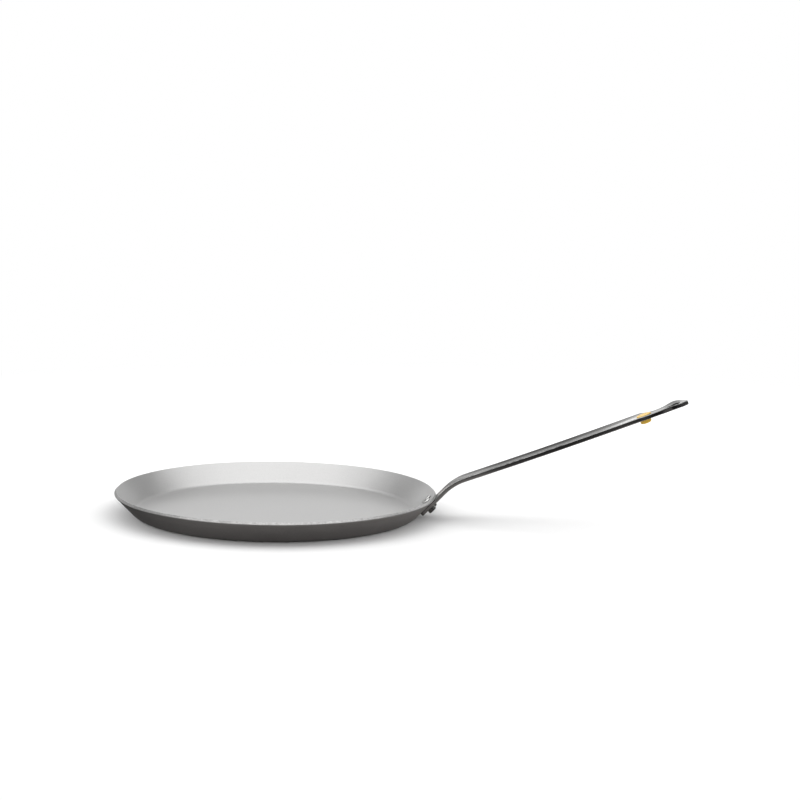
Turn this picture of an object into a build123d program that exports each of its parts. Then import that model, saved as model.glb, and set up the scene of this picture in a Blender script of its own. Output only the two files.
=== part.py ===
import os
from math import asin, cos, degrees, radians, sin, sqrt, tan

from build123d import *

# A crepe pan: a shallow disc of bare carbon steel with a short flared wall, and a long strip handle
# riveted to the outside of the wall. Millimetres, +Z up, the flat base on Z = 0, the pan's axis on Z
# and the handle along +X.

# Pan: one sheet, pressed to a flat floor and a straight wall
rim_diameter = 240.0
pan_height = 17.4
sheet = 2.5
wall_angle = 46.0
floor_bend = 5.0
rim_break = 0.25

# Handle strip seen from the side: the tang lies on the wall, the bar runs on after one bend
tang_thickness = 2.7
bar_thickness = 3.1
tang_below_rim = 15.9
tang_above_rim = 17.3
strip_bend = 39.0
bar_angle = 19.85
bar_lift = 2.3
tip_from_axis = 303.1

# Across the strip: a shallow gutter, hollow side up, that fades into the curve of the wall
bar_hollow = 36.5
hollow_runout = 30.0
upper_edge = 0.8
lower_edge = 0.45

# Sections of the strip, as shares of its three stretches
tang_section_shares = (1, 0.75, 0.5, 0.25)
bend_section_shares = (0, 0.2, 0.4, 0.6, 0.8, 1)
bar_section_shares = (0.04, 0.09, 0.15, 0.25, 0.4, 0.55, 0.7, 0.85, 1)

# Outline of the strip: widths, how far the waist draws in on each side, and distances from the tip
tang_width = 22.0
waist_inset = 1.35
bar_width = 21.0
neck_width = 11.9
eye_width = 23.2
waist_from_tip = 164.0
shoulder_from_tip = 36.1
neck_from_tip = 27.9
neck_end_from_tip = 20.0
eye_from_tip = 8.7
tang_corner = 1.8
waist_round = 60.0
shoulder_round = 7.0
neck_round = 12.0
eye_round = 6.3
tip_round = 4.5

# Hanging slot: a teardrop with its point towards the pan
slot_width = 7.1
slot_point_width = 2.2
slot_length = 11.2
slot_from_tip = 5.6
slot_edge = 0.3

# Rivets through wall and tang
rivet_spacing = 12.6
rivet_below_rim = 7.6
rivet_shank = 5.0
rivet_head = 8.4
rivet_head_height = 1.3
rivet_head_chamfer = 0.6
rivet_tail = 6.3
rivet_tail_height = 2.6
rivet_tail_chamfer = 0.5

# Soft button plugged through the bar
button_from_tip = 33.5
button_shank = 6.0
button_flange = 11.0
button_flange_height = 0.9
button_flange_chamfer = 0.3
button_heel = 8.4
button_heel_height = 2.6
button_heel_chamfer = 1.3

# Fits
seat_clearance = 0.05
hole_clearance = 0.1
button_clearance = 0.08
overrun = 3.0
hair = 0.01

# Worked out from the pan
rim_radius = rim_diameter / 2
rim_outer_height = pan_height - sheet * cos(radians(wall_angle))
rim_inner_radius = rim_radius - sheet * sin(radians(wall_angle))
base_radius = rim_radius - rim_outer_height / tan(radians(wall_angle))
floor_radius = base_radius - sheet * tan(radians(wall_angle / 2))


def ahead(point, angle, distance):
    """The point at a distance from another, in a direction of the XZ plane."""
    return (point[0] + distance * cos(radians(angle)), point[1] + distance * sin(radians(angle)))


# Middle line of the strip's upper face: straight up the wall, round the bend, then a long slight
# curve that lifts the bar by a few degrees towards its tip
rim_corner = ahead((rim_radius, rim_outer_height), wall_angle - 90, seat_clearance)
bend_turn = wall_angle - bar_angle
bend_tangent = strip_bend * tan(radians(bend_turn / 2))
bend_start = ahead(rim_corner, wall_angle, tang_above_rim - bend_tangent)
bend_centre = ahead(bend_start, wall_angle - 90, strip_bend)
bend_length = strip_bend * radians(bend_turn)
bar_start = ahead(bend_centre, bar_angle + 90, strip_bend)
tip_angle = bar_angle + bar_lift
bar_length = (tip_from_axis - bar_start[0]) / cos(radians(bar_angle + bar_lift / 2))
bar_curve = bar_length / radians(bar_lift)
bar_centre = ahead(bar_start, bar_angle + 90, bar_curve)
tip = ahead(bar_centre, tip_angle - 90, bar_curve)


def strip_place(distance):
    """Point and direction of the upper middle line at a distance from the start of the bend."""
    if distance <= 0:
        return ahead(bend_start, wall_angle, distance), wall_angle
    if distance <= bend_length:
        angle = wall_angle - degrees(distance / strip_bend)
        return ahead(bend_centre, angle + 90, strip_bend), angle
    angle = bar_angle + degrees((distance - bend_length) / bar_curve)
    return ahead(bar_centre, angle - 90, bar_curve), angle


def strip_section(distance):
    """Hollow radius and thickness of the strip at a distance from the start of the bend."""
    rim_distance = bend_tangent - tang_above_rim
    share = min(max((distance - rim_distance) / (hollow_runout - rim_distance), 0), 1)
    blend = share * share * (3 - 2 * share)
    place, _ = strip_place(min(distance, 0))
    wall_curve = sin(radians(wall_angle)) / place[0]
    hollow = 1 / (wall_curve + (1 / bar_hollow - wall_curve) * blend)
    return hollow, tang_thickness + (bar_thickness - tang_thickness) * blend


def strip_plane(distance):
    """Plane across the strip, with its X across and its Y out of the upper face."""
    (x, z), angle = strip_place(distance)
    return Plane(origin=(x, 0, z), x_dir=(0, 1, 0), z_dir=(cos(radians(angle)), 0, sin(radians(angle))))


def face_plane(distance):
    """Plane on the strip's upper face, with its X towards the tip and its Z out of the face."""
    (x, z), angle = strip_place(distance)
    swing = radians(angle)
    return Plane(origin=(x, 0, z), x_dir=(cos(swing), 0, sin(swing)), z_dir=(-sin(swing), 0, cos(swing)))


def square_to(plane):
    """The axis out of a plane, to sort faces by."""
    return Axis(plane.origin, plane.z_dir)


def gutter_lines(inner, outer, half):
    """Outline across a gutter between two arcs about one centre, the upper one through the origin."""
    swing = degrees(asin(half / inner))
    upper = CenterArc((0, inner), inner, -90 - swing, swing * 2)
    lower = CenterArc((0, inner), outer, -90 - swing, swing * 2)
    Line(upper @ 0, lower @ 0)
    Line(upper @ 1, lower @ 1)


# Pan body
with BuildPart() as pan_body:
    with BuildSketch(Plane.XZ) as pan_profile:
        with BuildLine():
            Polyline(
                (0, 0),
                (base_radius, 0),
                (rim_radius, rim_outer_height),
                (rim_inner_radius, pan_height),
                (floor_radius, sheet),
                (0, sheet),
                close=True,
            )
        make_face()
        for radius, round_radius in ((floor_radius, floor_bend), (base_radius, floor_bend + sheet)):
            fillet(pan_profile.vertices().filter_by_position(Axis.X, radius - hair, radius + hair), round_radius)
        for radius in (rim_radius, rim_inner_radius):
            chamfer(pan_profile.vertices().filter_by_position(Axis.X, radius - hair, radius + hair), rim_break)
    revolve(axis=Axis.Z)

# The rivets stand square to the wall, side by side
rivet_place = ahead((rim_radius, rim_outer_height), wall_angle, -rivet_below_rim)
rivet_swing = degrees(asin(rivet_spacing / 2 / rivet_place[0]))
wall_square = wall_angle - 90


def rivet_plane(side):
    """Plane on the outside of the wall at a rivet, with its Z out of the wall."""
    swing = radians(side * rivet_swing)
    out = cos(radians(wall_square))
    return Plane(
        origin=(rivet_place[0] * cos(swing), rivet_place[0] * sin(swing), rivet_place[1]),
        x_dir=(-sin(swing), cos(swing), 0),
        z_dir=(out * cos(swing), out * sin(swing), sin(radians(wall_square))),
    )


sides = {"rivet_right": 1, "rivet_left": -1}

with pan_body:
    for side in sides.values():
        with BuildSketch(rivet_plane(side)):
            Circle(rivet_shank / 2 + hole_clearance)
        extrude(amount=sheet + overrun, both=True, mode=Mode.SUBTRACT)

# Handle
blank_half = max(tang_width, bar_width, eye_width) / 2 + overrun / 2
strip_end = bend_length + bar_length + overrun
tang_length = tang_below_rim + tang_above_rim - bend_tangent
stations = [-tang_length * share for share in tang_section_shares]
stations += [bend_length * share for share in bend_section_shares]
stations += [bend_length + (strip_end - bend_length) * share for share in bar_section_shares]

# The tip's rounded corner starts from an apex this far out, so that the round ends near the tip plane
tip_plane = face_plane(bend_length + bar_length)
tip_apex = tip_round * (sqrt(2) - 1)
button_distance = bend_length + bar_length - button_from_tip
button_plane = face_plane(button_distance)

with BuildPart() as handle:
    for distance in stations:
        hollow, thickness = strip_section(distance)
        with BuildSketch(strip_plane(distance)):
            with BuildLine():
                gutter_lines(hollow, hollow + thickness, blank_half)
            make_face()
    loft()
    with BuildSketch(tip_plane) as outline:
        with BuildLine():
            Polyline(
                (tip_apex, 0),
                (-eye_from_tip, eye_width / 2),
                (-neck_end_from_tip, neck_width / 2),
                (-neck_from_tip, neck_width / 2),
                (-shoulder_from_tip, bar_width / 2),
                (-waist_from_tip, bar_width / 2 - waist_inset),
                (-bar_length - strip_end, tang_width / 2),
                (-bar_length - strip_end, 0),
                close=True,
            )
        make_face()
        mirror(about=Plane.XZ)
        for distance, radius in (
            (-tip_apex, tip_round),
            (eye_from_tip, eye_round),
            (neck_end_from_tip, neck_round),
            (neck_from_tip, neck_round),
            (shoulder_from_tip, shoulder_round),
            (waist_from_tip, waist_round),
        ):
            corner = outline.vertices().filter_by_position(Axis.X, -distance - hair, -distance + hair)
            fillet(corner, radius)
    extrude(amount=bar_length, both=True, mode=Mode.INTERSECT)
    tang_face = handle.faces().sort_by(square_to(strip_plane(-tang_length)))[0]
    fillet(tang_face.edges().sort_by(SortBy.LENGTH)[:2], tang_corner)
    for skin, skin_edge in ((0, lower_edge), (1, upper_edge)):
        skins = handle.faces().sort_by(SortBy.AREA)[-2:].sort_by(square_to(tip_plane))
        chamfer(skins[skin].edges(), skin_edge)

    # Rivet holes, the button's hole and the hanging slot
    for side in sides.values():
        with BuildSketch(rivet_plane(side)):
            Circle(rivet_shank / 2 + hole_clearance)
        extrude(amount=tang_thickness + overrun, both=True, mode=Mode.SUBTRACT)
    with BuildSketch(button_plane):
        Circle(button_shank / 2 + button_clearance)
    extrude(amount=bar_thickness + overrun, both=True, mode=Mode.SUBTRACT)
    with BuildSketch(tip_plane):
        with Locations((-slot_from_tip - slot_width / 2, 0)):
            Circle(slot_width / 2)
        with Locations((-slot_from_tip - slot_length + slot_point_width / 2, 0)):
            Circle(slot_point_width / 2)
        make_hull()
    extrude(amount=bar_thickness + overrun, both=True, mode=Mode.SUBTRACT)
    slot_rims = handle.edges(Select.LAST).filter_by(square_to(tip_plane), reverse=True)
    chamfer(slot_rims, slot_edge)

handle.part.label = "handle"
pan_body.part.label = "pan_body"
parts = {"pan_body": pan_body, "handle": handle}

# Rivets: a low flat head inside the pan, the shank, and a tail pressed flat outside the tang
head_seat = sheet + (rivet_head / 2) ** 2 * sin(radians(wall_angle)) / 2 / rivet_place[0] + seat_clearance
tail_seat = tang_thickness + seat_clearance * 2
for name, side in sides.items():
    seat = rivet_plane(side)
    with BuildPart() as rivet:
        with BuildSketch(seat.offset(-head_seat)):
            Circle(rivet_head / 2)
        extrude(amount=-rivet_head_height)
        chamfer(rivet.faces().sort_by(square_to(seat))[0].edges(), rivet_head_chamfer)
        with BuildSketch(seat.offset(tail_seat)):
            Circle(rivet_tail / 2)
        extrude(amount=rivet_tail_height)
        chamfer(rivet.faces().sort_by(square_to(seat))[-1].edges(), rivet_tail_chamfer)
        with BuildSketch(seat.offset(-head_seat)):
            Circle(rivet_shank / 2)
        extrude(amount=head_seat + tail_seat)
    rivet.part.label = name
    parts[name] = rivet

# Button: a flat flange in the gutter and a tapered heel under it, joined by the shank in the hole
with BuildPart() as handle_button:
    with BuildSketch(button_plane.offset(-bar_thickness - button_heel_height)):
        Circle(button_heel / 2)
    extrude(amount=button_heel_height + bar_thickness)
    chamfer(handle_button.faces().sort_by(square_to(button_plane))[0].edges(), button_heel_chamfer)
    with BuildSketch(button_plane):
        Circle(button_flange / 2)
    extrude(amount=button_flange_height)
    chamfer(handle_button.faces().sort_by(square_to(button_plane))[-1].edges(), button_flange_chamfer)
    with BuildSketch(strip_plane(button_distance)):
        with BuildLine():
            gutter_lines(bar_hollow, bar_hollow + bar_thickness, blank_half)
        make_face()
        offset(amount=button_clearance)
    extrude(amount=button_flange, both=True, mode=Mode.SUBTRACT)
    with BuildSketch(button_plane.offset(button_flange_height / 2)):
        Circle(button_shank / 2)
    extrude(amount=-bar_thickness - button_flange_height)
handle_button.part.label = "handle_button"
parts["handle_button"] = handle_button

os.makedirs("parts", exist_ok=True)
for name, piece in parts.items():
    export_step(piece.part, f"parts/{name}.step")
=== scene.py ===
from math import asin, cos, hypot, pi, radians, sin, sqrt, tan

import bmesh
import bpy
from mathutils import Matrix, Vector


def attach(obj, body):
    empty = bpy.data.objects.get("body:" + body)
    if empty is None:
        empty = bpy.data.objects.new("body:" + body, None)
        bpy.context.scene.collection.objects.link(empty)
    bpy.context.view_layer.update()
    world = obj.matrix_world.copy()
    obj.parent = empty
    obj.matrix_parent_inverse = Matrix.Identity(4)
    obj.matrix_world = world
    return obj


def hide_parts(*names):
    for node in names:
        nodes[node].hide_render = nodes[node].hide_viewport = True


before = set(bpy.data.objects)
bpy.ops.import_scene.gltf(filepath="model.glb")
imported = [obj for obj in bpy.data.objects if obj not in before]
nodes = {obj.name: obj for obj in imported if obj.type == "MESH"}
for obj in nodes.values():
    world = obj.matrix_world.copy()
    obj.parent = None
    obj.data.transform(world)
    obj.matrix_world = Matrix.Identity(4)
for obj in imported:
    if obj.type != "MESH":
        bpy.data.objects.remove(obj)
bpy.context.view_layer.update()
scene = bpy.context.scene
scene.view_settings.view_transform = "Standard"

# Measures of the CAD model that the pieces are made to, in metres
SHEET = 0.0025
PAN_HEIGHT = 0.0174
RIM_RADIUS = 0.12
WALL_ANGLE = radians(46)
FLOOR_BEND = 0.005
RIM_BREAK = 0.00025
HAIR = 1e-5

# Corners of the pan's section that follow from them
rim_low = PAN_HEIGHT - SHEET * cos(WALL_ANGLE)
rim_inner = RIM_RADIUS - SHEET * sin(WALL_ANGLE)
half_turn = tan(WALL_ANGLE / 2)
base_radius = RIM_RADIUS - rim_low / tan(WALL_ANGLE)
floor_radius = base_radius - SHEET * half_turn


# Small helpers for node trees

def tree(owner):
    """An emptied node tree of a material or world."""
    owner.use_nodes = True
    owner.node_tree.nodes.clear()
    return owner.node_tree


def add(nt, kind, label="", **settings):
    """A node of a kind, with its settings."""
    node = nt.nodes.new(kind)
    node.label = label
    for name, value in settings.items():
        setattr(node, name, value)
    return node


def join(nt, value, socket):
    """Links a socket to another, or sets a number or colour on it."""
    if isinstance(value, bpy.types.NodeSocket):
        nt.links.new(value, socket)
    else:
        socket.default_value = value


def work(nt, operation, *values, clamp=False):
    """A math node."""
    node = add(nt, "ShaderNodeMath", operation=operation, use_clamp=clamp)
    for value, socket in zip(values, node.inputs):
        join(nt, value, socket)
    return node.outputs[0]


def times(nt, value, *others):
    """Values multiplied together."""
    for other in others:
        value = work(nt, "MULTIPLY", value, other)
    return value


def plus(nt, value, *others):
    """Values added up."""
    for other in others:
        value = work(nt, "ADD", value, other)
    return value


def swing(nt, pattern, amount):
    """A pattern round a half, turned into one round nothing and scaled."""
    return times(nt, work(nt, "SUBTRACT", pattern, 0.5), amount)


def span(nt, value, low, high, least=0.0, most=1.0, label=""):
    """A smooth step from one level to another."""
    node = add(nt, "ShaderNodeMapRange", label, interpolation_type="SMOOTHSTEP")
    ends = {"From Min": low, "From Max": high, "To Min": least, "To Max": most}
    for name, number in ends.items():
        node.inputs[name].default_value = number
    join(nt, value, node.inputs["Value"])
    return node.outputs[0]


def grey(level):
    return (level, level, level, 1)


def blend(nt, share, first, second, label=""):
    """A colour between two."""
    node = add(nt, "ShaderNodeMix", label, data_type="RGBA")
    join(nt, share, node.inputs[0])
    join(nt, first, node.inputs[6])
    join(nt, second, node.inputs[7])
    return node.outputs[2]


def ramp(nt, value, stops, label=""):
    """A grey that goes through stops of place and level."""
    node = add(nt, "ShaderNodeValToRGB", label)
    node.color_ramp.interpolation = "EASE"
    points = node.color_ramp.elements
    while len(points) < len(stops):
        points.new(0.5)
    for point, (at, level) in zip(points, stops):
        point.position = at
        point.color = grey(level)
    join(nt, value, node.inputs[0])
    return node.outputs[0]


def noise(nt, place, scale, detail=3.0, label=""):
    node = add(nt, "ShaderNodeTexNoise", label)
    join(nt, place, node.inputs["Vector"])
    join(nt, scale, node.inputs["Scale"])
    node.inputs["Detail"].default_value = detail
    return node.outputs[0]


def scaled(nt, colour, *factors):
    """A colour times some values."""
    node = add(nt, "ShaderNodeVectorMath", operation="SCALE")
    join(nt, colour, node.inputs[0])
    join(nt, times(nt, *factors), node.inputs["Scale"])
    return node.outputs[0]


# Camera
def aim_camera():
    """Low in front of the pan, a little to the handle's side, and leaning a little."""
    azimuth, elevation, lean = radians(6.5), radians(11.65), radians(0.95)
    distance, target = 1.824, Vector((0.0919, 0.0, 0.0879))
    place = distance * Vector((
        sin(azimuth) * cos(elevation), -cos(azimuth) * cos(elevation), sin(elevation)))
    data = bpy.data.cameras.new("camera")
    camera = bpy.data.objects.new("camera", data)
    scene.collection.objects.link(camera)
    data.sensor_width = 36.0
    data.lens = 109.44
    data.clip_start, data.clip_end = 0.05, 20.0
    look = (target - place).to_track_quat("-Z", "Y").to_matrix() @ Matrix.Rotation(lean, 3, "Z")
    camera.matrix_world = Matrix.Translation(place) @ look.to_4x4()
    scene.camera = camera


aim_camera()


# Floor
def lay_floor():
    """White paper. In metal it shows darker in front of the object and beside it, where black cards
    lie in the studio."""
    bpy.ops.object.select_all(action="DESELECT")
    bpy.ops.mesh.primitive_plane_add(size=10, location=(0, 0, 0))
    floor = bpy.context.object
    floor.name = "floor"
    material = bpy.data.materials.new("white paper")
    nt = tree(material)
    out = add(nt, "ShaderNodeOutputMaterial")
    path = add(nt, "ShaderNodeLightPath")
    place = add(nt, "ShaderNodeTexCoord")
    parts = add(nt, "ShaderNodeSeparateXYZ")
    join(nt, place.outputs["Object"], parts.inputs[0])
    depth = work(nt, "ADD", parts.outputs["Y"], CARD_DEPTH, clamp=True)
    card = ramp(nt, depth, CARD, "black card in front")
    right = span(nt, parts.outputs["X"], *CARD_RIGHT, label="black card on the right")
    left = span(nt, parts.outputs["X"], *CARD_LEFT, label="black card on the left")
    card = scaled(nt, CARD_TINT, card, left, right)
    glow = ramp(nt, depth, GLOW, "light that the cards give back")
    direct = blend(nt, path.outputs["Is Camera Ray"], grey(PAPER_BOUNCE), grey(PAPER))
    paper = add(nt, "ShaderNodeBsdfDiffuse")
    join(nt, blend(nt, path.outputs["Is Glossy Ray"], direct, card), paper.inputs["Color"])
    lit = add(nt, "ShaderNodeEmission")
    join(nt, glow, lit.inputs["Color"])
    join(nt, path.outputs["Is Glossy Ray"], lit.inputs["Strength"])
    both = add(nt, "ShaderNodeAddShader")
    join(nt, paper.outputs[0], both.inputs[0])
    join(nt, lit.outputs[0], both.inputs[1])

    # Further off the paper is plain white to the camera
    far = add(nt, "ShaderNodeVectorMath", operation="DISTANCE")
    far.inputs[1].default_value = PAPER_MIDDLE
    join(nt, place.outputs["Object"], far.inputs[0])
    edge = span(nt, far.outputs["Value"], *PAPER_EDGE, label="round the object")
    white = add(nt, "ShaderNodeEmission")
    choice = add(nt, "ShaderNodeMixShader")
    join(nt, times(nt, edge, path.outputs["Is Camera Ray"]), choice.inputs[0])
    join(nt, both.outputs[0], choice.inputs[1])
    join(nt, white.outputs[0], choice.inputs[2])
    join(nt, choice.outputs[0], out.inputs["Surface"])
    floor.data.materials.append(material)


PAPER, PAPER_BOUNCE = 0.9, 0.8
PAPER_MIDDLE, PAPER_EDGE = (0.1, 0, 0), (0.35, 0.8)
CARD_DEPTH = 0.6
CARD_RIGHT, CARD_LEFT = (0.35, 0.5, 1.0, 0.05), (-0.13, -0.03, 0.12, 1.0)
CARD_TINT = (1.05, 0.99, 0.97)
CARD = ((0.0, 0.012), (0.36, 0.012), (0.46, 0.29), (0.6, 0.29), (0.9, 0.8))
GLOW = ((0.0, 0.02), (0.36, 0.03), (0.46, 0.012), (1.0, 0.012))
lay_floor()


# Studio and lamps
def light_world():
    """Metal sees white low down behind, grey above and dark in front. The paper gets most of its
    fill from both sides, so the shadow is deepest in front."""
    world = bpy.data.worlds.new("studio")
    scene.world = world
    nt = tree(world)
    out = add(nt, "ShaderNodeOutputWorld")
    path = add(nt, "ShaderNodeLightPath")
    way = add(nt, "ShaderNodeTexCoord")
    parts = add(nt, "ShaderNodeSeparateXYZ")
    join(nt, way.outputs["Generated"], parts.inputs[0])
    behind = ramp(nt, parts.outputs["Z"], BEHIND, "behind, by height")
    left_to_right = work(nt, "MULTIPLY_ADD", parts.outputs["X"], 0.5, 0.5)
    behind = scaled(nt, behind, ramp(nt, left_to_right, ACROSS, "behind, from left to right"))
    before = ramp(nt, parts.outputs["Z"], BEFORE, "in front, by height")
    metal = blend(nt, span(nt, parts.outputs["Y"], *AMIDSHIPS), before, behind, "seen in metal")
    side = ramp(nt, left_to_right, FILL_SIDES, "fill from both sides")
    front = span(nt, parts.outputs["Y"], *FILL_FRONT, label="fill from the front")
    above = span(nt, parts.outputs["Z"], *FILL_ABOVE, label="fill from above")
    fill = times(nt, side, front, above)
    whole = blend(nt, path.outputs["Is Glossy Ray"], fill, metal)
    back = add(nt, "ShaderNodeBackground")
    white = work(nt, "MAXIMUM", path.outputs["Is Camera Ray"], path.outputs["Is Transmission Ray"])
    join(nt, blend(nt, white, whole, grey(1)), back.inputs["Color"])
    join(nt, back.outputs[0], out.inputs["Surface"])


BEHIND = ((0.0, 0.2), (0.22, 1.5), (0.42, 0.6), (1.0, 0.3))
ACROSS = ((0.0, 0.6), (0.3, 0.78), (0.46, 1.04), (0.52, 1.0), (0.62, 0.62), (1.0, 0.2))
BEFORE = ((0.0, 0.08), (1.0, 0.2))
AMIDSHIPS = (-0.3, 0.3)
FILL_SIDES = ((0.0, 2.7), (0.5, 0.75), (1.0, 2.3))
FILL_FRONT = (-0.6, 0.3, 0.55, 1.0)
FILL_ABOVE = (0.0, 0.8, 1.2, 0.8)
light_world()


def lamp(name, place, target, size, radiance, hidden):
    """A flat lamp of a given radiance, hidden from the camera and from one kind of ray."""
    data = bpy.data.lights.new(name, "AREA")
    data.shape = "RECTANGLE"
    data.size, data.size_y = size
    data.energy = pi * size[0] * size[1] * radiance
    light = bpy.data.objects.new(name, data)
    scene.collection.objects.link(light)
    place = Vector(place)
    turn = (Vector(target) - place).to_track_quat("-Z", "Y")
    light.matrix_world = Matrix.Translation(place) @ turn.to_matrix().to_4x4()
    light.visible_camera = False
    setattr(light, hidden, False)


lamp("overhead softbox", (0.1, 0.0, 1.5), (0.1, 0.0, 0.0), (2.8, 2.2), 1.54, "visible_diffuse")
lamp("softbox for the paper", (0.12, 0.5, 1.5), (0.12, 0.5, 0.0), (1.8, 2.0), 2.8, "visible_glossy")
lamp(
    "white card beside the handle", (0.28, 0.2, 0.165), (0.25, 0.0, 0.075), (0.12, 0.17), 1.3,
    "visible_diffuse")


# Effects that several materials share
def group(name, sockets, outputs):
    """A node group with named sockets, as its tree, its inputs and its outputs."""
    nt = bpy.data.node_groups.new(name, "ShaderNodeTree")
    for label, kind, value in sockets:
        socket = nt.interface.new_socket(label, in_out="INPUT", socket_type=kind)
        if value is not None:
            socket.default_value = value
    for label, kind in outputs:
        nt.interface.new_socket(label, in_out="OUTPUT", socket_type=kind)
    return nt, nt.nodes.new("NodeGroupInput").outputs, nt.nodes.new("NodeGroupOutput").inputs


VALUE, VECTOR = "NodeSocketFloat", "NodeSocketVector"


def grain_group():
    """Grain of rolled steel or moulded rubber: specks, and clouds many times their size."""
    nt, given, wanted = group(
        "grain",
        (
            ("Place", VECTOR, None), ("Fineness", VALUE, 1500),
            ("Specks", VALUE, 0.1), ("Clouds", VALUE, 0.06),
        ),
        (("Tone", VALUE), ("Height", VALUE), ("Cloud", VALUE)),
    )
    cloud_fineness = 0.03
    speck = noise(nt, given["Place"], given["Fineness"], 2.0, "specks")
    cloud = noise(nt, given["Place"], times(nt, given["Fineness"], cloud_fineness), 4.0, "clouds")
    specks, clouds = swing(nt, speck, given["Specks"]), swing(nt, cloud, given["Clouds"])
    join(nt, plus(nt, specks, clouds, 1.0), wanted["Tone"])
    join(nt, speck, wanted["Height"])
    join(nt, cloud, wanted["Cloud"])
    return nt


def lines_group():
    """Fine lines along one direction, as rolling, polishing and handling leave on steel."""
    nt, given, wanted = group(
        "fine lines",
        (("Place", VECTOR, None), ("Across", VECTOR, (40, 4000, 4000)), ("Sharpness", VALUE, 0.5)),
        (("Lines", VALUE),),
    )
    stretched = add(nt, "ShaderNodeVectorMath", operation="MULTIPLY")
    join(nt, given["Place"], stretched.inputs[0])
    join(nt, given["Across"], stretched.inputs[1])
    line = noise(nt, stretched.outputs[0], 1.0, 3.0)
    sharp = swing(nt, line, given["Sharpness"])
    join(nt, work(nt, "ADD", sharp, 0.5, clamp=True), wanted["Lines"])
    return nt


def wear_group():
    """Breaks a clean mask up, so that an edge is rubbed bright in some places and not in others."""
    nt, given, wanted = group(
        "rubbed",
        (
            ("Place", VECTOR, None), ("Edge", VALUE, 0),
            ("Patchiness", VALUE, 300), ("Amount", VALUE, 0.5),
        ),
        (("Rubbed", VALUE),),
    )
    patch = span(nt, noise(nt, given["Place"], given["Patchiness"], 4.0), 0.35, 0.65)
    join(nt, times(nt, given["Edge"], patch, given["Amount"]), wanted["Rubbed"])
    return nt


grain, fine_lines, rubbed = grain_group(), lines_group(), wear_group()


def effect(nt, shared, place, **values):
    node = add(nt, "ShaderNodeGroup")
    node.node_tree = shared
    join(nt, place, node.inputs["Place"])
    for name, value in values.items():
        join(nt, value, node.inputs[name])
    return node.outputs


def finish(name, build, metallic=1.0, **settings):
    """A material whose build function gives its colour, roughness, bump height and bump depth; the
    rest is set plainly."""
    material = bpy.data.materials.new(name)
    nt = tree(material)
    out = add(nt, "ShaderNodeOutputMaterial")
    surface = add(nt, "ShaderNodeBsdfPrincipled")
    surface.inputs["Metallic"].default_value = metallic
    for key, value in settings.items():
        surface.inputs[key.replace("_", " ")].default_value = value
    colour, roughness, height, depth = build(nt)
    join(nt, colour, surface.inputs["Base Color"])
    join(nt, roughness, surface.inputs["Roughness"])
    bump = add(nt, "ShaderNodeBump")
    bump.inputs["Strength"].default_value = 1.0
    bump.inputs["Distance"].default_value = depth
    join(nt, height, bump.inputs["Height"])
    join(nt, bump.outputs[0], surface.inputs["Normal"])
    join(nt, surface.outputs[0], out.inputs["Surface"])
    return material


def object_place(nt):
    place = add(nt, "ShaderNodeTexCoord").outputs["Object"]
    parts = add(nt, "ShaderNodeSeparateXYZ")
    join(nt, place, parts.inputs[0])
    return place, parts.outputs


def pan_finish(nt):
    """Bare rolled sheet: grey, with fine specks and faint clouds. The sheared rim is darker and
    coarser, and the wall has faint marks round it from pressing."""
    place, (x, y, z) = object_place(nt)
    specks = effect(nt, grain, place, Fineness=1500, Specks=0.22, Clouds=0.1)
    rolled = effect(nt, fine_lines, place, Across=(30, 1500, 1500), Sharpness=0.6)
    radius = work(nt, "SQRT", plus(nt, times(nt, x, x), times(nt, y, y)))
    along = plus(nt, times(nt, radius, cos(WALL_ANGLE)), times(nt, z, sin(WALL_ANGLE)))
    sheared = span(nt, along, *SHEARED_FROM, label="sheared rim")
    around = add(nt, "ShaderNodeCombineXYZ")
    join(nt, radius, around.inputs[0])
    join(nt, times(nt, work(nt, "ARCTAN2", y, x), ARC_MARKS), around.inputs[1])
    pressed = effect(nt, fine_lines, around.outputs[0], Across=(1400, 1400, 1), Sharpness=0.8)
    on_wall = span(nt, radius, *WALL_FROM, label="on the wall")
    mark = plus(
        nt, swing(nt, pressed["Lines"], times(nt, on_wall, PRESSED_MARKS)),
        swing(nt, rolled["Lines"], ROLLED_MARKS))
    coarse = effect(nt, grain, place, Fineness=750, Specks=1.5, Clouds=0.3)
    sheet = scaled(nt, PAN_GREY, specks["Tone"], plus(nt, mark, 1.0))
    colour = blend(nt, sheared, sheet, scaled(nt, RIM_GREY, coarse["Tone"]), "sheet to rim")
    roughness = plus(nt, times(nt, specks["Cloud"], 0.12), mark, 0.36)
    return colour, roughness, specks["Height"], GRAIN_DEPTH


def handle_finish(nt):
    """Thicker strip steel, polished along its length and a little darker; rubbed bright at the
    edges. Its colour is also painted lighter and darker in stretches, as painted reflections."""
    place, _ = object_place(nt)
    flat = add(nt, "ShaderNodeUVMap", uv_map="flat").outputs[0]
    along = add(nt, "ShaderNodeSeparateXYZ")
    join(nt, flat, along.inputs[0])
    polished = effect(nt, fine_lines, flat, Across=(6, 700, 1), Sharpness=0.9)
    specks = effect(nt, grain, place, Fineness=1800, Specks=0.2, Clouds=0.14)
    edge = add(nt, "ShaderNodeAttribute", attribute_name="rub", attribute_type="GEOMETRY")
    worn = effect(nt, rubbed, place, Edge=edge.outputs["Fac"], Patchiness=260, Amount=0.5)
    # Painted reflections: lighter and darker stretches of colour along the strip, lightest just
    # before the button
    painted_sheen = ramp(nt, along.outputs[0], PAINTED_SHEEN, "where it is held")
    line = plus(nt, swing(nt, polished["Lines"], POLISH_MARKS), 1.0)
    colour = scaled(nt, HANDLE_GREY, specks["Tone"], line, painted_sheen)
    colour = blend(nt, worn["Rubbed"], colour, RUBBED_GREY, "bright edges")
    roughness = plus(nt, times(nt, polished["Lines"], 0.16), 0.14)
    return colour, roughness, polished["Lines"], LINE_DEPTH


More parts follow.
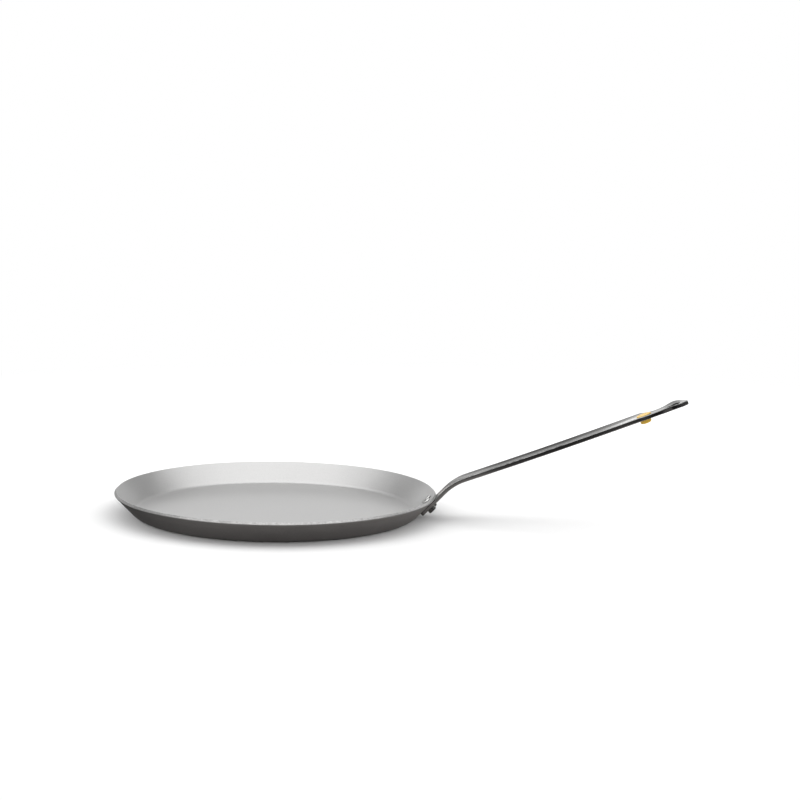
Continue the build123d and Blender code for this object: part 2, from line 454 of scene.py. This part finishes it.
def rivet_finish(nt):
    """Turned and set steel rivets: bright heads inside the pan, each with a painted shadow round
    its foot; the tails outside are darkened as painted shade.
    """
    place, (x, _, z) = object_place(nt)
    specks = effect(nt, grain, place, Fineness=2200, Specks=0.2, Clouds=0.3)
    out = work(nt, "SUBTRACT", times(nt, x, sin(WALL_ANGLE)), times(nt, z, cos(WALL_ANGLE)))
    tail = span(nt, out, *TAIL_FROM, label="tail outside the wall")
    # Painted contact shadow: the head is darkened in a ring where it meets the wall
    seam_shadow = span(nt, out, *HEAD_SEAM_SHADOW, label="painted_shadow where the head meets the wall")
    worn = effect(nt, rubbed, place, Edge=1.0, Patchiness=900, Amount=0.4)
    # Painted shade: the tails outside the wall take a much darker grey than the heads
    colour = blend(nt, tail, scaled(nt, HEAD_GREY, seam_shadow), TAIL_SHADE_GREY)
    colour = scaled(nt, colour, specks["Tone"])
    colour = blend(nt, times(nt, worn["Rubbed"], tail), colour, RUBBED_TAIL)
    roughness = plus(nt, times(nt, specks["Cloud"], 0.15), 0.12)
    return colour, roughness, specks["Height"], GRAIN_DEPTH


def button_finish(nt):
    """Moulded yellow silicone, with a fine matt skin and a little dust rubbed into it."""
    place, _ = object_place(nt)
    skin = effect(nt, grain, place, Fineness=2600, Specks=0.12, Clouds=0.12)
    dust = effect(nt, rubbed, place, Edge=1.0, Patchiness=700, Amount=0.1)
    colour = scaled(nt, YELLOW, skin["Tone"])
    colour = blend(nt, dust["Rubbed"], colour, DUST, "dust")
    roughness = plus(nt, times(nt, skin["Cloud"], 0.15), 0.38)
    return colour, roughness, skin["Height"], SKIN_DEPTH


PAN_GREY, RIM_GREY = (0.515, 0.513, 0.51), (0.37, 0.368, 0.364)
HANDLE_GREY, RUBBED_GREY = (0.3, 0.298, 0.294), (0.62, 0.62, 0.61, 1)
# The tails' darker grey is painted shade
HEAD_GREY, TAIL_SHADE_GREY, RUBBED_TAIL = (0.6, 0.6, 0.59), (0.2, 0.2, 0.195, 1), (0.4, 0.4, 0.39, 1)
YELLOW, DUST = (0.64, 0.39, 0.04), (0.7, 0.6, 0.3, 1)
GRAIN_DEPTH, LINE_DEPTH, SKIN_DEPTH = 6e-6, 8e-6, 1e-5
PRESSED_MARKS, ROLLED_MARKS, POLISH_MARKS = 0.1, 0.06, 0.3
# Painted reflections along the handle: how much lighter or darker its colour is, by place along it
PAINTED_SHEEN = (
    (0.0, 1.25), (0.1, 1.2), (0.19, 0.65), (0.38, 0.55), (0.47, 0.95), (0.57, 1.6), (0.61, 1.5),
    (0.66, 0.5),
)

# Where the finishes change: along the wall's slope, from the pan's axis, and square to the wall
rim_along = RIM_RADIUS * cos(WALL_ANGLE) + rim_low * sin(WALL_ANGLE)
SHEARED_FROM, WALL_FROM = (rim_along - 0.0001, rim_along + 0.00002), (0.102, 0.106)
# Square to the wall: where the tails' painted shade begins, and the ring of painted shadow at the
# heads' foot
TAIL_FROM, HEAD_SEAM_SHADOW = (0.0765, 0.078), (0.0721, 0.0726, 1.0, 0.15)
ARC_MARKS = 0.004
pan_steel = finish("pan steel", pan_finish)
handle_steel = finish("handle steel", handle_finish, Specular_Tint=(0.62, 0.62, 0.62, 1))
rivet_steel = finish("rivet steel", rivet_finish)
button_rubber = finish("button rubber", button_finish, metallic=0.0, Specular_IOR_Level=0.25)
for name, node in nodes.items():
    node.data.materials.clear()
    node.data.materials.append(pan_steel if name == "pan_body" else handle_steel)


# Modelling by hand: small helpers for edit mode
def ready():
    bpy.ops.object.select_all(action="DESELECT")


def take(piece):
    ready()
    bpy.context.view_layer.objects.active = piece
    piece.select_set(True)


def editing(piece):
    take(piece)
    bpy.ops.object.mode_set(mode="EDIT")


def choose(piece, kind, test):
    """Selects the verts or edges of a piece that a test holds for."""
    bpy.ops.mesh.select_mode(type={"verts": "VERT", "edges": "EDGE"}[kind])
    bpy.ops.mesh.select_all(action="DESELECT")
    mesh = bmesh.from_edit_mesh(piece.data)
    for item in getattr(mesh, kind):
        item.select_set(test(item))
    mesh.select_flush_mode()
    bmesh.update_edit_mesh(piece.data)


def smooth(piece):
    """Smooth shading up to an angle, led by the large faces."""
    take(piece)
    bpy.ops.object.shade_smooth_by_angle(angle=radians(35))
    even = piece.modifiers.new("even shading", "WEIGHTED_NORMAL")
    even.keep_sharp = True
    bpy.ops.object.modifier_apply(modifier=even.name)


def choose_all():
    bpy.ops.mesh.select_all(action="SELECT")


def draw_out(x, z):
    """Extrudes the chosen edges by that much."""
    bpy.ops.mesh.extrude_edges_move(TRANSFORM_OT_translate={"value": (x, 0, z)})


def stretch(x, y):
    """Widens what is chosen about the middle."""
    bpy.ops.transform.resize(value=(x, y, 1), center_override=(0, 0, 0))


def bevel(width, steps, **settings):
    bpy.ops.mesh.bevel(
        offset=width, offset_type="OFFSET", segments=steps, profile=0.5, **settings)


def turned(name, rings, bends, segments):
    """A closed turned piece about Z: rings of radius and height from one end to the other, then
    bends as radius, height, bevel width and steps."""
    ready()
    (radius, height), *others = rings
    bpy.ops.mesh.primitive_circle_add(
        vertices=segments, radius=radius, fill_type="NGON", location=(0, 0, height))
    bpy.ops.object.transform_apply()
    piece = bpy.context.object
    piece.name = name
    editing(piece)
    bpy.ops.mesh.select_mode(type="EDGE")
    for next_radius, next_height in others:
        draw_out(0, next_height - height)
        stretch(next_radius / radius, next_radius / radius)
        radius, height = next_radius, next_height
    bpy.ops.mesh.edge_face_add()
    choose_all()
    bpy.ops.mesh.normals_make_consistent(inside=False)
    for radius, height, width, steps in bends:
        choose(piece, "edges", lambda edge: all(
            abs(hypot(v.co.x, v.co.y) - radius) < HAIR and abs(v.co.z - height) < HAIR
            for v in edge.verts))
        bevel(width, steps)
    bpy.ops.object.mode_set(mode="OBJECT")
    return piece


def settle(piece, node, material, place=None):
    """Puts a piece where its node is, dresses it and lets it stand for the node."""
    if place is not None:
        take(piece)
        piece.matrix_world = place
        bpy.ops.object.transform_apply(location=True, rotation=True, scale=True)
    smooth(piece)
    piece.data.materials.clear()
    piece.data.materials.append(material)
    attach(piece, "root")
    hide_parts(node)


# Pan: one sheet, up the outside of the wall, over the rim and down to the floor
MIDDLE_RING, FLOOR_RING = 0.03, 0.09
pan = turned(
    "pan",
    (
        (MIDDLE_RING, 0), (FLOOR_RING, 0), (base_radius, 0), (RIM_RADIUS, rim_low),
        (rim_inner, PAN_HEIGHT), (floor_radius, SHEET), (FLOOR_RING, SHEET), (MIDDLE_RING, SHEET),
    ),
    (
        (base_radius, 0, (FLOOR_BEND + SHEET) * half_turn, 12),
        (floor_radius, SHEET, FLOOR_BEND * half_turn, 10),
        (RIM_RADIUS, rim_low, RIM_BREAK * 2, 4),
        (rim_inner, PAN_HEIGHT, RIM_BREAK, 3),
    ),
    segments=288,
)
settle(pan, "pan_body", pan_steel)

# Handle: worked out from the same sizes as the CAD model, along the middle of its upper face
CLEARANCE = 0.00005
TANG = 0.0027
BAR = 0.0031
TANG_BELOW_RIM, TANG_ABOVE_RIM = 0.0159, 0.0173
STRIP_BEND = 0.039
BAR_ANGLE, BAR_LIFT = radians(19.85), radians(2.3)
TIP_FROM_AXIS = 0.3031
BAR_HOLLOW, HOLLOW_RUNOUT = 0.0365, 0.03


def ahead(point, angle, distance):
    return point[0] + distance * cos(angle), point[1] + distance * sin(angle)


rim_corner = ahead((RIM_RADIUS, rim_low), WALL_ANGLE - pi / 2, CLEARANCE)
bend_turn = WALL_ANGLE - BAR_ANGLE
bend_tangent = STRIP_BEND * tan(bend_turn / 2)
bend_start = ahead(rim_corner, WALL_ANGLE, TANG_ABOVE_RIM - bend_tangent)
bend_centre = ahead(bend_start, WALL_ANGLE - pi / 2, STRIP_BEND)
bend_length = STRIP_BEND * bend_turn
bar_start = ahead(bend_centre, BAR_ANGLE + pi / 2, STRIP_BEND)
bar_length = (TIP_FROM_AXIS - bar_start[0]) / cos(BAR_ANGLE + BAR_LIFT / 2)
bar_curve = bar_length / BAR_LIFT
bar_centre = ahead(bar_start, BAR_ANGLE + pi / 2, bar_curve)
tang_length = TANG_BELOW_RIM + TANG_ABOVE_RIM - bend_tangent
tip = bend_length + bar_length


def strip_place(distance):
    """Point and direction of the strip's upper middle line at a distance from the bend's start."""
    if distance <= 0:
        return ahead(bend_start, WALL_ANGLE, distance), WALL_ANGLE
    if distance <= bend_length:
        angle = WALL_ANGLE - distance / STRIP_BEND
        return ahead(bend_centre, angle + pi / 2, STRIP_BEND), angle
    angle = BAR_ANGLE + (distance - bend_length) / bar_curve
    return ahead(bar_centre, angle - pi / 2, bar_curve), angle


def gutter(distance):
    """Radius of the hollow and thickness of the strip at that distance."""
    rim_distance = bend_tangent - TANG_ABOVE_RIM
    share = min(max((distance - rim_distance) / (HOLLOW_RUNOUT - rim_distance), 0), 1)
    eased = share * share * (3 - 2 * share)
    place, _ = strip_place(min(distance, 0))
    wall_curve = sin(WALL_ANGLE) / place[0]
    return 1 / (wall_curve + (1 / BAR_HOLLOW - wall_curve) * eased), TANG + (BAR - TANG) * eased


def face_place(distance):
    """Where a piece on the strip's upper face goes, its X towards the tip and its Z outwards."""
    (x, z), angle = strip_place(distance)
    return Matrix.Translation((x, 0, z)) @ Matrix.Rotation(-angle, 4, "Y")


# Outline of the flat blank as distance along it, half width and corner radius: the tang's end, the
# waist, the shoulder, both ends of the neck, the eye and the tip
HALF_TANG, HALF_BAR, WAIST_INSET = 0.0096, 0.0105, 0.00135
HALF_NECK, HALF_EYE, TIP_RADIUS = 0.00595, 0.0116, 0.0045
outline = (
    (-tang_length, HALF_TANG, 0.0018),
    (tip - 0.164, HALF_BAR - WAIST_INSET, 0.06),
    (tip - 0.0361, HALF_BAR, 0.007),
    (tip - 0.0279, HALF_NECK, 0.012),
    (tip - 0.02, HALF_NECK, 0.012),
    (tip - 0.0087, HALF_EYE, 0.0063),
    (tip + TIP_RADIUS * (sqrt(2) - 1), 0, TIP_RADIUS),
)
UPPER_EDGE, LOWER_EDGE, SLOT_EDGE = 0.0008, 0.00045, 0.0003
SLOT, SLOT_POINT, SLOT_LENGTH, SLOT_FROM_TIP = 0.0071, 0.0022, 0.0112, 0.0056
RIVET_BELOW_RIM, RIVET_SPACING, RIVET_HOLE = 0.0076, 0.0126, 0.0026
BUTTON_FROM_TIP, BUTTON_HOLE = 0.0335, 0.00308
ROW, COLUMNS = 0.0024, (0.0018, 0.0035, 0.0053, 0.007, 0.0087)
FLAT_SCALE = 4
rivet_distance = bend_tangent - TANG_ABOVE_RIM - RIVET_BELOW_RIM
slot_start, slot_end = tip - SLOT_FROM_TIP - SLOT_LENGTH, tip - SLOT_FROM_TIP


def cut(piece, cutter):
    """Cuts one piece out of another."""
    take(piece)
    hole = piece.modifiers.new("hole", "BOOLEAN")
    hole.operation, hole.solver, hole.object = "DIFFERENCE", "EXACT", cutter
    bpy.ops.object.modifier_apply(modifier=hole.name)
    bpy.data.objects.remove(cutter)


def punch(radius, distance, side, vertices=48):
    """A round punch through the blank."""
    ready()
    bpy.ops.mesh.primitive_cylinder_add(
        vertices=vertices, radius=radius, depth=BAR * 3, location=(distance, side, -BAR / 2))
    return bpy.context.object


def cut_blank():
    """The flat blank: drawn row by row, its corners rounded, pierced, with its edges broken."""
    ready()
    bpy.ops.mesh.primitive_plane_add(size=1)
    blank = bpy.context.object
    blank.name = "strip"
    editing(blank)
    for end, (distance, half, _) in zip((-0.5, 0.5), outline):
        choose(blank, "verts", lambda v: at_corner(v, end, 0.5))
        stretch(1, half * 2)
        bpy.ops.transform.translate(value=(distance - end, 0, 0))
    for distance, half, _ in outline[2:]:
        draw_out(distance - last_x(blank), 0)
        stretch(1, max(half, HAIR) / last_y(blank))
    bpy.ops.mesh.merge(type="CENTER")
    choose_all()
    bpy.ops.mesh.dissolve_faces()

    # Each corner is rounded by a bevel as long as its radius asks, the waist's in fewer steps
    corners = [Vector((distance, half)) for distance, half, _ in outline]
    lead = [Vector((-tang_length, 0))] + corners + [Vector((corners[-2].x, -corners[-2].y))]
    for before, (distance, half, radius), after in zip(lead, outline, lead[2:]):
        here = Vector((distance, half))
        turn = (here - before).angle(after - here)
        choose(blank, "verts", lambda v: at_corner(v, distance, half))
        steps = 4 if radius > 0.05 else 10
        bevel(radius * tan(turn / 2), steps, affect="VERTICES", clamp_overlap=False)
    choose_all()
    bpy.ops.mesh.extrude_region_move(TRANSFORM_OT_translate={"value": (0, 0, -BAR)})
    choose_all()
    bpy.ops.mesh.normals_make_consistent(inside=False)
    bpy.ops.object.mode_set(mode="OBJECT")

    # Two rivet holes, the button's hole and the slot, a teardrop with its point towards the pan
    cut(blank, punch(RIVET_HOLE, rivet_distance, RIVET_SPACING / 2))
    cut(blank, punch(RIVET_HOLE, rivet_distance, -RIVET_SPACING / 2))
    cut(blank, punch(BUTTON_HOLE, tip - BUTTON_FROM_TIP, 0))
    point = punch(SLOT_POINT / 2, slot_start + SLOT_POINT / 2, 0, 24)
    slot = punch(SLOT / 2, slot_end - SLOT / 2, 0, 40)
    take(slot)
    point.select_set(True)
    bpy.ops.object.join()
    editing(slot)
    choose_all()
    bpy.ops.mesh.convex_hull()
    bpy.ops.object.mode_set(mode="OBJECT")
    cut(blank, slot)

    # Edges are broken in two goes: the slot's, then the outline's. The round holes stay sharp
    editing(blank)
    choose_all()
    bpy.ops.mesh.remove_doubles(threshold=HAIR / 10)
    for level in (0, -BAR):
        choose(blank, "edges", lambda edge: at_level(edge, level) and all(
            in_slot(v.co) for v in edge.verts))
        bevel(SLOT_EDGE, 3, clamp_overlap=False)
    for level, width, steps in ((0, UPPER_EDGE, 4), (-BAR, LOWER_EDGE, 3)):
        choose(blank, "edges", lambda edge: at_level(edge, level) and not any(
            in_slot(v.co) or in_round_hole(v.co) for v in edge.verts))
        bevel(width, steps, clamp_overlap=False)

    # Even rows and columns, for the dishing and bending
    for row in range(1, int((tip + tang_length) / ROW)):
        choose_all()
        bpy.ops.mesh.bisect(plane_co=(-tang_length + ROW * row, 0, 0), plane_no=(1, 0, 0))
    for side in [-column for column in reversed(COLUMNS)] + [0, *COLUMNS]:
        choose_all()
        bpy.ops.mesh.bisect(plane_co=(0, side, 0), plane_no=(0, 1, 0))
    bpy.ops.object.mode_set(mode="OBJECT")
    return blank


def at_corner(vertex, distance, half):
    """Whether a point is a corner of the outline, on either side."""
    return abs(vertex.co.x - distance) < HAIR and abs(abs(vertex.co.y) - half) < HAIR


def at_level(edge, level):
    """Whether an edge lies at a height, between a flat face and an upright one."""
    return all(abs(v.co.z - level) < HAIR for v in edge.verts) and any(
        abs(face.normal.z) < 0.5 for face in edge.link_faces)


def in_slot(point):
    return slot_start - HAIR < point.x < slot_end + HAIR and abs(point.y) < SLOT / 2 + HAIR


def in_round_hole(point):
    return any(
        hypot(point.x - distance, abs(point.y) - side) < radius + HAIR * 5
        for distance, side, radius in (
            (rivet_distance, RIVET_SPACING / 2, RIVET_HOLE),
            (tip - BUTTON_FROM_TIP, 0, BUTTON_HOLE),
        ))


def last_x(piece):
    """How far along the blank reaches."""
    return max(v.co.x for v in bmesh.from_edit_mesh(piece.data).verts)


def last_y(piece):
    """The half width of the chosen edge."""
    verts = [v for v in bmesh.from_edit_mesh(piece.data).verts if v.select]
    return max(v.co.y for v in verts)


def press(blank):
    """Dishes and bends the blank: each point goes from the flat to its place on the gutter and the
    bend. The flat place stays on the piece as its UV map, for marks that run along the strip."""
    mesh = blank.data
    flat = mesh.uv_layers.new(name="flat")
    for loop in mesh.loops:
        point = mesh.vertices[loop.vertex_index].co
        flat.uv[loop.index].vector = (point.x * FLAT_SCALE, (point.y - point.z) * FLAT_SCALE)
    rub = mesh.attributes.new("rub", "FLOAT", "POINT")
    for vertex in mesh.vertices:
        depth = -vertex.co.z
        worn = HAIR < depth < UPPER_EDGE - HAIR or BAR - LOWER_EDGE + HAIR < depth < BAR - HAIR
        rub.data[vertex.index].value = 1.0 if worn else 0.0
        distance, side = vertex.co.x, vertex.co.y
        hollow, thickness = gutter(distance)
        depth *= thickness / BAR
        out = hollow - sqrt((hollow + depth) ** 2 - side ** 2)
        (x, z), angle = strip_place(distance)
        vertex.co = (x - sin(angle) * out, side, z + cos(angle) * out)
    mesh.update()


strip = cut_blank()
press(strip)
settle(strip, "handle", handle_steel)


# Rivets: a low flat head inside the pan, the shank, and a tail pressed flat outside the tang
HEAD, HEAD_HEIGHT, HEAD_EDGE = 0.0042, 0.0013, 0.0006
SHANK, TAIL, TAIL_HEIGHT, TAIL_EDGE = 0.0025, 0.00315, 0.0026, 0.0005
HEAD_RING, TAIL_RING = 0.0015, 0.001
rivet_x = RIM_RADIUS - RIVET_BELOW_RIM * cos(WALL_ANGLE)
rivet_z = rim_low - RIVET_BELOW_RIM * sin(WALL_ANGLE)
head_seat = -(SHEET + HEAD ** 2 * sin(WALL_ANGLE) / 2 / rivet_x + CLEARANCE)
tail_seat = TANG + CLEARANCE * 2
for name, side in (("rivet_right", 1), ("rivet_left", -1)):
    rivet = turned(
        name.replace("rivet", "riveted"),
        (
            (HEAD_RING, head_seat - HEAD_HEIGHT), (HEAD, head_seat - HEAD_HEIGHT),
            (HEAD, head_seat), (SHANK, head_seat), (SHANK, tail_seat), (TAIL, tail_seat),
            (TAIL, tail_seat + TAIL_HEIGHT), (TAIL_RING, tail_seat + TAIL_HEIGHT),
        ),
        (
            (HEAD, head_seat - HEAD_HEIGHT, HEAD_EDGE, 4),
            (TAIL, tail_seat + TAIL_HEIGHT, TAIL_EDGE, 4),
        ),
        segments=64,
    )
    bearing = side * asin(RIVET_SPACING / 2 / rivet_x)
    place = (
        Matrix.Rotation(bearing, 4, "Z")
        @ Matrix.Translation((rivet_x, 0, rivet_z))
        @ Matrix.Rotation(pi - WALL_ANGLE, 4, "Y")
    )
    settle(rivet, name, rivet_steel, place)


# Button: a flat flange in the gutter, the shank and a tapered heel under the bar. Where it seats it
# is bowed to the gutter
FLANGE, FLANGE_HEIGHT, FLANGE_EDGE = 0.0055, 0.0009, 0.0003
HEEL, HEEL_HEIGHT, HEEL_EDGE = 0.0042, 0.0026, 0.0013
BUTTON_SHANK, BUTTON_GAP = 0.003, 0.00008
HEEL_RING, FLANGE_RING = 0.0012, 0.0015
heel_seat = -BAR - BUTTON_GAP
plug = turned(
    "plug",
    (
        (HEEL_RING, -BAR - HEEL_HEIGHT), (HEEL, -BAR - HEEL_HEIGHT), (HEEL, heel_seat),
        (BUTTON_SHANK, heel_seat), (BUTTON_SHANK, BUTTON_GAP), (FLANGE, BUTTON_GAP),
        (FLANGE, FLANGE_HEIGHT), (FLANGE_RING, FLANGE_HEIGHT),
    ),
    (
        (HEEL, -BAR - HEEL_HEIGHT, HEEL_EDGE, 6),
        (FLANGE, FLANGE_HEIGHT, FLANGE_EDGE, 4),
    ),
    segments=72,
)
for vertex in plug.data.vertices:
    for level, radius in ((BUTTON_GAP, BAR_HOLLOW), (heel_seat, BAR_HOLLOW + BAR)):
        if abs(vertex.co.z - level) < HAIR:
            vertex.co.z += radius - sqrt(radius ** 2 - vertex.co.y ** 2)
settle(plug, "handle_button", button_rubber, face_place(tip - BUTTON_FROM_TIP))
